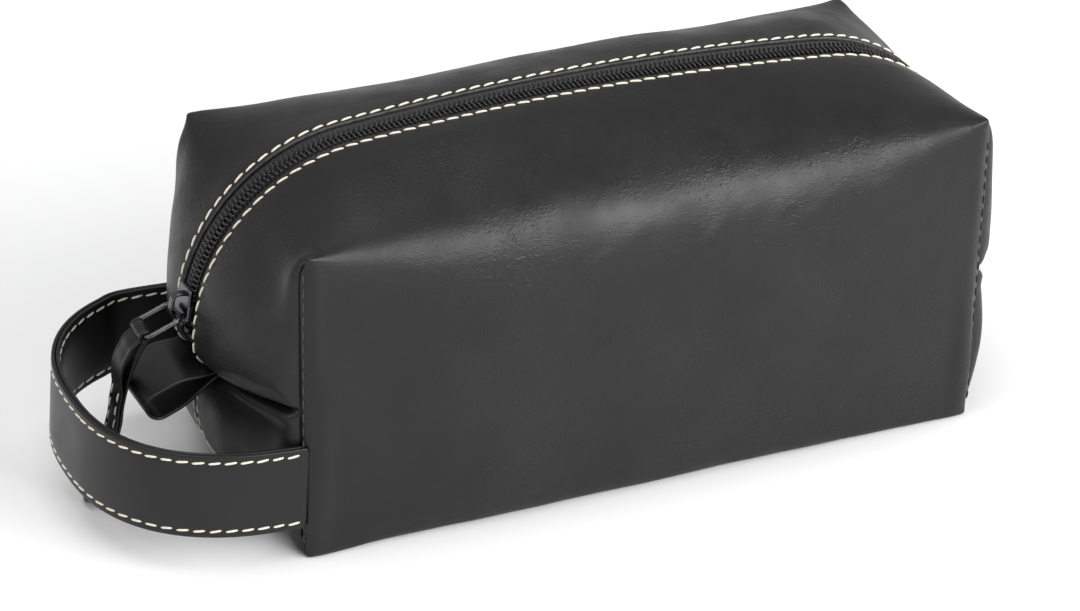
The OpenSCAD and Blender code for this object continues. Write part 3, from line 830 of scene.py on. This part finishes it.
# ---- puller ----
origin, axes = on_end_arc(SLIDER_A, TOP_FACE)
BRIDGE_BAR = origin + np.array([BAR_X, 0, BAR_Z]) @ axes
RING_A = math.radians(21)
RING_L, RING_W, RING_R, RING_CORNER = 13.0, 12.0, 1.0, 1.9
RING_DIR = np.array([-math.cos(RING_A), 0, -math.sin(RING_A)])
RING_BAR = BRIDGE_BAR + RING_DIR * RING_L
PULL_LEAN, PULL_SIDE = math.radians(15.5), math.radians(5.5)
pull_low = box_mm("pull_strap")[0]
PULL_W = 9.4
PULL_T = 2.6
PULL_MARGIN = 1.7
PULL_L = (RING_BAR[2] - pull_low[2]) / (math.cos(PULL_SIDE) * math.cos(PULL_LEAN))


def make_ring(material):
    """A rounded rectangle of wire, lying from the bridge to the strap."""
    outline = rounded([(0, -RING_W / 2), (RING_L, -RING_W / 2), (RING_L, RING_W / 2), (0, RING_W / 2)],
                      RING_CORNER, 7)
    path = []
    for p, q in zip(outline, np.roll(outline, -1, 0)):
        steps = 1 if np.linalg.norm(q - p) < 1 else 8
        path += [p + (q - p) * k / steps for k in range(steps)]
    path = np.array(path)
    centre = BRIDGE_BAR + np.outer(path[:, 0], RING_DIR) + np.outer(path[:, 1], (0, 1, 0))
    obj = tube("puller_wire_loop", centre, (RING_R, RING_R * 0.86), 14, "ring", material, closed=True)
    return finish_piece(obj, "gunmetal", "puller_ring")


def pull_axes():
    down = np.array([-math.sin(PULL_LEAN) * math.cos(PULL_SIDE), math.sin(PULL_SIDE),
                     -math.cos(PULL_LEAN) * math.cos(PULL_SIDE)])
    across = np.array([math.sin(PULL_LEAN) * math.sin(PULL_SIDE), math.cos(PULL_SIDE),
                       math.cos(PULL_LEAN) * math.sin(PULL_SIDE)])
    across = unit(across - down * np.dot(across, down))
    out = np.cross(down, across)
    if out[0] > 0:
        out = -out
    return down, across, out


def hang(depth):
    """How far the strap bows out from its straight line: outwards under the ring, inwards near the tip."""
    u = np.clip(depth / PULL_L, 0, 1)
    bulge = 1.5 * np.sin(math.pi * np.clip(u / 0.5, 0, 1)) ** 1.2
    return bulge - 1.1 * np.sin(math.pi * np.clip((u - 0.42) / 0.58, 0, 1))


LOOP_BOW, LOOP_END = 2.6, 23.0


def make_pull(skin, thread):
    """A strap folded over the ring's outer bar, with its two plies stitched together."""
    down, across, out = pull_axes()
    ply = PULL_T / 4
    wrap = RING_R + 0.15 + ply
    depth = np.linspace(PULL_L - 0.4, 7.5, 46)
    inner = np.stack([-ply + hang(depth), depth], 1)
    a = np.radians(np.linspace(-62, 242, 22))
    eye = np.stack([-wrap * np.cos(a), -wrap * np.sin(a)], 1)
    neck_in = smooth_path([inner[-1], (-ply - 0.3 + hang(5), 4.6), (-1.1, 2.4), eye[0]], 7)[1:-1]
    loop_out = LOOP_BOW * np.sin(math.pi * np.clip(depth / LOOP_END, 0, 1))
    outer = np.stack([ply + hang(depth) + loop_out, depth], 1)[::-1]
    neck_out = smooth_path([eye[-1], (1.6, 2.4), (outer[0] * (0.85, 0.62)), outer[0]], 7)[1:-1]
    flat = np.vstack([inner, neck_in, eye, neck_out, outer])
    path = RING_BAR + np.outer(flat[:, 0], out) + np.outer(flat[:, 1], down)
    s = lengths(path)
    half = round_end(s, s[-1], PULL_W / 2)
    strap = ribbon("pull_leather", path, np.tile(across, (len(path), 1)), half, ply, skin, PULL_MARGIN, 0.3, 1)
    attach(strap, "pull")
    finish_piece(strap, "strap_leather", "pull_strap")
    places = []
    for d in np.arange(LOOP_END + 2, PULL_L - 4.5, STITCH_PITCH):
        for side in (-1, 1):
            for face in (-1, 1):
                outwards = out * (hang(d) + face * (2 * ply - 0.02))
                row = RING_BAR + down * d + across * side * (PULL_W / 2 - PULL_MARGIN)
                places.append((row + outwards, down, out * face))
    rows = stitches("pull_thread", places, 3.8, 0.75, thread, 8)
    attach(rows, "pull")
    finish_piece(rows, "cream_thread", "pull_stitching")


# ---- handle ----
HANDLE_W = 31.0
HANDLE_PLY = 1.5
HANDLE_X, HANDLE_Y, HANDLE_REACH, HANDLE_HALF = 131.0, 3.5, 57.5, 57.0
HANDLE_Z, HANDLE_RISE = 28.0, 6.5
HANDLE_POWER = 2.4
HANDLE_MARGIN = 2.6
ROOT_IN = 5.5


def handle_plan():
    """The strap's middle from the front corner seam round to the back one, its roots inside the seams."""
    a = np.radians(np.linspace(-90, 90, 161))
    x = -HANDLE_X - HANDLE_REACH * np.sign(np.cos(a)) * abs(np.cos(a)) ** (2 / HANDLE_POWER)
    y = HANDLE_Y + HANDLE_HALF * np.sign(np.sin(a)) * abs(np.sin(a)) ** (2 / HANDLE_POWER)
    loop = np.stack([x, y], 1)
    front = [(-HANDLE_X + ROOT_IN, y[0] - 0.3)]
    back = [(-HANDLE_X + ROOT_IN, HALF_W - 1.2), (-HANDLE_X + ROOT_IN * 0.4, HALF_W + 0.6)]
    loop = loop[2:-10]
    return resample(smooth_path(np.vstack([front, loop[::8], back[::-1]]), 200), 150)


def handle_path():
    plan = handle_plan()
    s = lengths(plan)
    z = HANDLE_Z + HANDLE_RISE * s / s[-1]
    sway = 0.5 * np.sin(s / s[-1] * math.pi * 3)
    return np.column_stack([plan, z + sway * 0.6]), s


def facing_left(normals):
    """The same normals, turned so that the one at mid-length faces -X."""
    return -normals if normals[len(normals) // 2, 0] > 0 else normals


def handle_frame():
    path, s = handle_path()
    along = tangents(path)
    out = facing_left(unit(np.cross(along, (0, 0, 1))))
    # the strap leans a little, most of all at mid-length
    lean = np.radians(3 * np.sin(s / s[-1] * math.pi))
    up = unit(np.array([0, 0, 1.0]) - out * np.sin(lean)[:, None])
    return path, s, along, up, facing_left(unit(np.cross(up, along)))


def flex_handle(obj):
    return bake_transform(obj)


def make_handle(skin, thread):
    """An outer strap and its backing, stitched together along both edges."""
    path, s, along, up, out = handle_frame()
    half = np.full(len(path), HANDLE_W / 2)
    ply = HANDLE_PLY / 2
    for name, side, node in (("handle_outer_strap", 1, "handle_strap"),
                             ("handle_inner_strap", -1, "handle_backing")):
        layer = ribbon(name, path + out * side * (ply + 0.02), up, half, ply, skin, HANDLE_MARGIN, 0.22, 1)
        finish_piece(flex_handle(layer), "strap_leather", node)
    for name, edge, node in (("handle_thread_upper", 1, "handle_stitching_upper"),
                             ("handle_thread_lower", -1, "handle_stitching_lower")):
        places = []
        for at in row_steps(s[-1], 1.5):
            k = int(np.searchsorted(s, at))
            row = path[k] + up[k] * edge * (HANDLE_W / 2 - HANDLE_MARGIN)
            for face in (-1, 1):
                places.append((row + out[k] * face * (HANDLE_PLY - 0.12), along[k], out[k] * face))
        rows = stitches(name, places, 4.6, 0.85, thread, 7)
        finish_piece(flex_handle(rows), "cream_thread", node)


# ---- finger tab ----
TAB_L, TAB_W, TAB_FOLD, TAB_PLY = 27.0, 28.0, 5.5, 1.3
TAB_A = math.radians(21)
TAB_ROOT = np.array([SEAM[0] - 4.9, 0, SEAM[1] + 0.3])


def make_tab(skin):
    """One strip folded into a flat loop, with both ends held in the end seam."""
    far = TAB_L - TAB_FOLD
    r = TAB_FOLD - TAB_PLY / 2
    a = np.radians(np.linspace(82, -82, 18))
    shoulder = (far + r * math.cos(a[0]), r * math.sin(a[0]))
    upper = smooth_path([(-6, 1.0), (0, 0.9), (5, 2.3), (12, 4.6), shoulder], 20)
    lower = smooth_path([(-6, -0.6), (0, -0.75), (7, -2.6), (14, -4.5), shoulder * np.array((1, -1))], 20)
    flat = np.vstack([upper[:-1], np.stack([far + r * np.cos(a), r * np.sin(a)], 1), lower[-2::-1]])
    direction = np.array([-math.cos(TAB_A), 0, -math.sin(TAB_A)])
    normal = np.array([-math.sin(TAB_A), 0, math.cos(TAB_A)])
    path = TAB_ROOT + np.outer(flat[:, 0], direction) + np.outer(flat[:, 1], normal)
    across = np.tile((0, 1.0, 0), (len(path), 1))
    obj = ribbon("finger_tab", path, across, np.full(len(path), TAB_W / 2), TAB_PLY / 2, skin, 2.4, 0.0, 1)
    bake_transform(obj)
    return finish_piece(obj, "strap_leather", "end_tab")


# ---- rows of stitches in the leather ----
def surface_place(tree, point, direction, outward, lift):
    """A stitch's place on the leather nearest to a point."""
    hit, normal, _, _ = tree.find_nearest(Vector(point))
    normal = np.array(normal)
    if np.dot(normal, outward) < 0:
        normal = -normal
    return np.array(hit) + normal * lift, direction, normal


def make_zip_rows(trees, thread):
    for name, side, node in (("zip_thread_front", -1, "zip_stitching_front"),
                             ("zip_thread_back", 1, "zip_stitching_back")):
        places = []
        for s in row_steps(zip_track.total, 7):
            point = zip_track.place(s, side * SEAM_ROW_Y, LEATHER_OUT)
            places.append(surface_place(trees[side], point, zip_track.forward(s), zip_track.outward(s), 0.1))
        rows = stitches(name, places, 4.6, 0.85, thread, 9 * side)
        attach(rows, "bag")
        finish_piece(rows, "cream_thread", node)


def make_base_rows(trees, thread):
    """Two rows beside the lower seam, kept clear of the floor."""
    places = []
    for side in (-1, 1):
        for s in row_steps(base_track.total, 3):
            point = base_track.place(s, side * BASE_ROW_Y, 0)
            forward, outward = base_track.forward(s), -base_track.outward(s)
            centre, direction, normal = surface_place(trees[side], point, forward, outward, 0.05)
            tilt = abs(unit(np.array(direction, float))[2])
            centre[2] = max(centre[2], 0.75 + 1.95 * tilt)
            places.append((centre, direction, normal))
    rows = stitches("base_seam_thread", places, 3.9, 0.8, thread, 0)
    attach(rows, "bag")
    finish_piece(rows, "cream_thread", "bottom_seam_stitching")


def make_corner_threads(trees, thread):
    margin = 5
    count = int((BAG_H - 2 * margin) / STITCH_PITCH)
    for depth, side in (("front", -1), ("back", 1)):
        for end, sign in (("left", -1), ("right", 1)):
            places = []
            for i in range(count):
                point = (sign * HALF_L, side * (HALF_W - 1.6), margin + (i + 0.5) * STITCH_PITCH)
                places.append(surface_place(trees[side], point, (0, 0, 1.0), (sign, side * 0.4, 0), 0.1))
            rows = stitches("corner_seam_thread_%s_%s" % (depth, end), places, 3.6, 0.7, thread, 0)
            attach(rows, "bag")
            finish_piece(rows, "black_thread", "corner_thread_%s_%s" % (depth, end))


def make_end_threads(trees, thread):
    first, last = TAB_W / 2 + 3, HALF_W - 5
    count = int((last - first) / STITCH_PITCH)
    corner = np.array([-HALF_L, SEAM_CORNER_Z])
    for end, sign in (("left", -1), ("right", 1)):
        places = []
        for side in (-1, 1):
            for i in range(count):
                y = first + (i + 0.5) * STITCH_PITCH
                t = y / HALF_W
                p = SEAM + (corner - SEAM) * t * t
                point = (-sign * (p[0] + 2.4), side * y, p[1])
                direction = np.array([sign * 2 * t * (SEAM[0] - corner[0]) / HALF_W, side, 0])
                places.append(surface_place(trees[side], point, direction, (sign, 0, 0), 0.1))
        rows = stitches("end_fold_thread_%s" % end, places, 3.4, 0.7, thread, 0)
        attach(rows, "bag")
        finish_piece(rows, "black_thread", "end_seam_thread_%s" % end)


# ---- materials ----
class Look:
    """A procedural material, built up node by node."""

    def __init__(self, name, **sockets):
        self.mat = bpy.data.materials.new(name)
        self.mat.use_nodes = True
        self.nodes, self.links = self.mat.node_tree.nodes, self.mat.node_tree.links
        self.bsdf = self.nodes["Principled BSDF"]
        for socket, value in sockets.items():
            self.bsdf.inputs[socket.replace("_", " ")].default_value = value
        self.height = None

    def node(self, kind, **settings):
        made = self.nodes.new(kind)
        for key, value in settings.items():
            if hasattr(made, key):
                setattr(made, key, value)
            else:
                made.inputs[key].default_value = value
        return made

    def place(self, uv=False, scale=None):
        source = self.node("ShaderNodeTexCoord").outputs["UV" if uv else "Object"]
        if scale is None:
            return source
        mapping = self.node("ShaderNodeMapping")
        mapping.inputs["Scale"].default_value = scale
        self.links.new(source, mapping.inputs["Vector"])
        return mapping.outputs["Vector"]

    def noise(self, scale, detail=3.0, where=None, roughness=0.5, kind="FBM", distortion=0.0):
        made = self.node("ShaderNodeTexNoise", noise_type=kind, Scale=scale, Detail=detail,
                         Roughness=roughness, Distortion=distortion)
        self.links.new(where or self.place(), made.inputs["Vector"])
        return made.outputs["Fac"]

    def cells(self, scale):
        made = self.node("ShaderNodeTexVoronoi", feature="F1", Scale=scale)
        self.links.new(self.place(), made.inputs["Vector"])
        return made.outputs["Distance"]

    def waves(self, scale, where, direction="X"):
        made = self.node("ShaderNodeTexWave", bands_direction=direction, Scale=scale, Distortion=0.0)
        self.links.new(where, made.inputs["Vector"])
        return made.outputs["Fac"]

    def maths(self, operation, a, b):
        made = self.node("ShaderNodeMath", operation=operation)
        for socket, value in zip(made.inputs, (a, b)):
            if isinstance(value, (int, float)):
                socket.default_value = value
            else:
                self.links.new(value, socket)
        return made.outputs["Value"]

    def span(self, factor, low, high, from_low=0.3, from_high=0.7):
        made = self.node("ShaderNodeMapRange")
        limits = {"From Min": from_low, "From Max": from_high, "To Min": low, "To Max": high}
        for socket, value in limits.items():
            made.inputs[socket].default_value = value
        self.links.new(factor, made.inputs["Value"])
        return made.outputs["Result"]

    def colours(self, factor, stops):
        made = self.node("ShaderNodeValToRGB")
        ramp = made.color_ramp
        while len(ramp.elements) < len(stops):
            ramp.elements.new(0.5)
        for element, (position, colour) in zip(ramp.elements, stops):
            element.position = position
            element.color = (*colour, 1)
        self.links.new(factor, made.inputs["Fac"])
        return made.outputs["Color"]

    def set(self, socket, value):
        self.links.new(value, self.bsdf.inputs[socket])

    def tones(self, factor, *stops):
        self.set("Base Color", self.colours(factor, stops))

    def rough(self, scale, detail, low, high):
        self.set("Roughness", self.span(self.noise(scale, detail), low, high))

    def bump(self, height, depth_mm, strength=1.0):
        """Adds relief of this depth to what is there already."""
        made = self.node("ShaderNodeBump", Strength=strength, Distance=depth_mm * MM)
        self.links.new(height, made.inputs["Height"])
        if self.height is not None:
            self.links.new(self.height, made.inputs["Normal"])
        self.height = made.outputs["Normal"]
        self.links.new(self.height, self.bsdf.inputs["Normal"])


def leather_look(name, dark, light, gloss, crease, grain):
    """Smooth dyed leather: fine pores, short wavy creases in patches, and slightly uneven gloss."""
    look = Look(name, Specular_IOR_Level=0.37)
    tone = look.noise(30, 5)
    look.tones(tone, (0.35, dark), (0.7, light))
    look.rough(70, 5, gloss - 0.06, gloss + 0.08)
    bent = look.place(False, (1, 1, 1.7))
    lines = look.noise(430, 3, bent, 0.55, "RIDGED_MULTIFRACTAL", 0.9)
    patches = look.span(look.noise(26, 2), 0.15, 1.0, 0.35, 0.65)
    look.bump(look.maths("MULTIPLY", lines, patches), crease, 0.8)
    look.bump(look.noise(55, 3, look.place(False, (0.7, 1, 1.3)), 0.5, "FBM", 0.8), crease * 3, 0.35)
    look.bump(look.cells(1150), grain, 0.45)
    return look.mat


def edge_look(name):
    """Cut edge of the leather, painted grey and a little worn."""
    look = Look(name, Specular_IOR_Level=0.4)
    look.tones(look.noise(400, 4), (0.3, (0.028, 0.027, 0.027)), (0.75, (0.1, 0.098, 0.1)))
    look.rough(300, 3, 0.45, 0.7)
    look.bump(look.noise(900, 4), 0.15, 0.6)
    return look.mat


def tape_look(name):
    """Woven polyester tape, with rows along and across, and painted shade in the gaps of its weave."""
    look = Look(name, Specular_IOR_Level=0.35)
    look.bsdf.inputs["Sheen Weight"].default_value = 0.15
    rows = look.waves(0.55, look.place(True), "Y")
    across = look.waves(0.42, look.place(True), "X")
    weave_and_gap_shade = look.maths("MULTIPLY", rows, across)
    # The colour follows the weave: painted shade, darker in the gaps between the yarns.
    look.tones(weave_and_gap_shade, (0.0, (0.008, 0.008, 0.009)), (0.9, (0.035, 0.035, 0.038)))
    look.rough(500, 2, 0.6, 0.8)
    look.bump(weave_and_gap_shade, 0.22, 0.8)
    look.bump(look.noise(2500, 2), 0.05, 0.5)
    return look.mat


def coil_look(name):
    """Black nylon."""
    look = Look(name, Specular_IOR_Level=0.55)
    look.tones(look.noise(300, 3), (0.3, (0.012, 0.012, 0.013)), (0.7, (0.022, 0.022, 0.024)))
    look.rough(700, 3, 0.24, 0.4)
    look.bump(look.noise(2600, 2), 0.03, 0.5)
    return look.mat


def metal_look(name):
    """Polished gunmetal plating with faint smudges and hairlines."""
    look = Look(name, Metallic=1.0)
    look.tones(look.noise(120, 4), (0.3, (0.085, 0.085, 0.092)), (0.75, (0.14, 0.138, 0.146)))
    look.rough(240, 5, 0.16, 0.34)
    look.bump(look.noise(1500, 4, look.place(False, (1, 6, 1))), 0.02, 0.5)
    return look.mat


def thread_look(name, dark, light):
    """Twisted waxed thread, with painted shade in the grooves of its twist."""
    look = Look(name, Specular_IOR_Level=0.4)
    where = look.place(True, (1, 0.16, 1))
    twist_and_groove_shade = look.waves(0.75, where, "DIAGONAL")
    # The colour follows the twist: painted shade, darker in the grooves between the plies.
    look.tones(look.maths("MULTIPLY_ADD", twist_and_groove_shade, 0.6), (0.0, dark), (0.6, light))
    look.rough(1500, 2, 0.5, 0.68)
    look.bump(twist_and_groove_shade, 0.12, 0.8)
    look.bump(look.noise(5000, 2), 0.04, 0.5)
    return look.mat


def cloth_look(name):
    """Plain woven lining, with painted shade in the gaps of its weave."""
    look = Look(name, Specular_IOR_Level=0.3)
    weave_and_gap_shade = look.maths("MULTIPLY", look.waves(320, look.place(), "X"), look.waves(320, look.place(), "Z"))
    # The colour follows the weave: painted shade, darker in the gaps between the threads.
    look.tones(weave_and_gap_shade, (0.0, (0.05, 0.05, 0.055)), (0.8, (0.11, 0.11, 0.12)))
    look.rough(400, 2, 0.7, 0.9)
    look.bump(weave_and_gap_shade, 0.1, 0.7)
    return look.mat


def floor_look(name):
    look = Look(name, Specular_IOR_Level=0.2)
    look.tones(look.noise(3, 2), (0.3, (0.92, 0.92, 0.925)), (0.7, (0.94, 0.94, 0.94)))
    look.rough(5, 2, 0.75, 0.85)
    return look.mat


# ---- studio ----
def area_light(name, place, aim, size, power):
    data = bpy.data.lights.new(name, "AREA")
    data.shape = "RECTANGLE"
    data.size, data.size_y = size
    data.energy = power
    obj = bpy.data.objects.new(name, data)
    bpy.context.scene.collection.objects.link(obj)
    obj.location = place
    obj.rotation_euler = (Vector(aim) - Vector(place)).to_track_quat("-Z", "Y").to_euler()


def make_studio():
    floor_mesh = bpy.data.meshes.new("floor")
    reach = 8
    corners = [(-reach, -reach, 0), (reach, -reach, 0), (reach, reach, 0), (-reach, reach, 0)]
    floor_mesh.from_pydata(corners, [], [(0, 1, 2, 3)])
    floor_mesh.materials.append(floor_look("pale_floor"))
    floor = bpy.data.objects.new("floor", floor_mesh)
    bpy.context.scene.collection.objects.link(floor)
    world = bpy.data.worlds.new("studio")
    world.use_nodes = True
    world.node_tree.nodes["Background"].inputs["Color"].default_value = (1, 1, 1, 1)
    world.node_tree.nodes["Background"].inputs["Strength"].default_value = 0.5
    bpy.context.scene.world = world
    bpy.context.scene.view_settings.view_transform = "Standard"
    area_light("overhead", (-0.35, 0, 2.0), (0, 0, 0.05), (1.2, 1.2), 14)
    area_light("front", (0.85, -1.32, 0.86), (0, 0, 0.08), (1.9, 0.8), 36)
    area_light("right", (1.6, 0.3, 0.9), (0, 0, 0.06), (0.6, 0.9), 3)
    area_light("left", (-1.4, -0.1, 1.0), (-0.05, 0, 0.05), (0.6, 0.8), 4)


def make_camera():
    """The photograph's viewing angle."""
    data = bpy.data.cameras.new("camera")
    data.lens = 150
    data.sensor_width = 36
    camera = bpy.data.objects.new("camera", data)
    bpy.context.scene.collection.objects.link(camera)
    place = Vector((-0.60324, -1.2368, 0.80833))
    aim = Vector((-0.01624, 0.00056, 0.0456))
    roll = math.radians(1.5946)
    turn = (aim - place).to_track_quat("-Z", "Y").to_matrix().to_4x4()
    camera.matrix_world = Matrix.Translation(place) @ turn @ Matrix.Rotation(roll, 4, "Z")
    bpy.context.scene.camera = camera


# ---- the whole bag ----
make_studio()
make_camera()

bag_leather = leather_look("bag_leather", (0.0042, 0.004, 0.0043), (0.0085, 0.0078, 0.0078), 0.4, 0.26, 0.07)
strap_leather = leather_look("strap_leather", (0.004, 0.004, 0.0044), (0.0075, 0.0073, 0.0076),
                             0.36, 0.05, 0.05)
leather_edge = edge_look("leather_cut_edge")
tape = tape_look("zip_tape")
nylon = coil_look("zip_nylon")
gunmetal = metal_look("gunmetal")
# The first colour of each thread is painted shade for the grooves of its twist.
cream = thread_look("cream_thread", (0.3, 0.25, 0.2), (0.78, 0.7, 0.6))
black = thread_look("black_thread", (0.008, 0.008, 0.009), (0.03, 0.03, 0.032))
lining = cloth_look("lining_cloth")

FRONT_FOLDS = [(-24, 92, 24, 48, 0.45), (-13, 96, 20, 42, 0.4), (18, 94, 26, 46, 0.45),
               (31, 98, 18, 50, 0.35), (-52, 88, 18, 38, 0.25), (58, 96, 22, 58, 0.3), (82, 99, 18, 62, 0.25)]
BACK_FOLDS = [(-40, 90, 24, -42, 0.4), (-12, 96, 20, -50, 0.35), (26, 92, 24, 44, 0.4), (70, 96, 20, 56, 0.3)]
front_verts, panel_faces = make_shell(11, 110, FRONT_FOLDS, 2.5, (0, 3.0))
back_verts, back_faces = mirrored_y(*make_shell(23, 62, BACK_FOLDS, 2.0, (1.8, 1.0)))
trees = {}
for side, shell in ((-1, (front_verts, panel_faces)), (1, (back_verts, back_faces))):
    trees[side] = BVHTree.FromPolygons(shell[0].tolist(), shell[1].tolist())
make_leather("bag_front_leather", front_verts, panel_faces, bag_leather, leather_edge, "front_panel")
make_leather("bag_back_leather", back_verts, back_faces, bag_leather, leather_edge, "back_panel")
make_lining("bag_front_lining", front_verts, panel_faces, lining, "front_lining")
make_lining("bag_back_lining", back_verts, back_faces, lining, "back_lining")
make_tape("zip_front_tape", -1, tape, "zip_tape_front")
make_tape("zip_back_tape", 1, tape, "zip_tape_back")
make_coil("zip_front_coil", -1, nylon, "zip_coil_front")
make_coil("zip_back_coil", 1, nylon, "zip_coil_back")
make_stops(gunmetal)
make_slider(gunmetal)
make_ring(gunmetal)
make_pull(strap_leather, cream)
make_handle(strap_leather, cream)
make_tab(strap_leather)
make_zip_rows(trees, cream)
make_base_rows(trees, cream)
make_corner_threads(trees, black)
make_end_threads(trees, black)
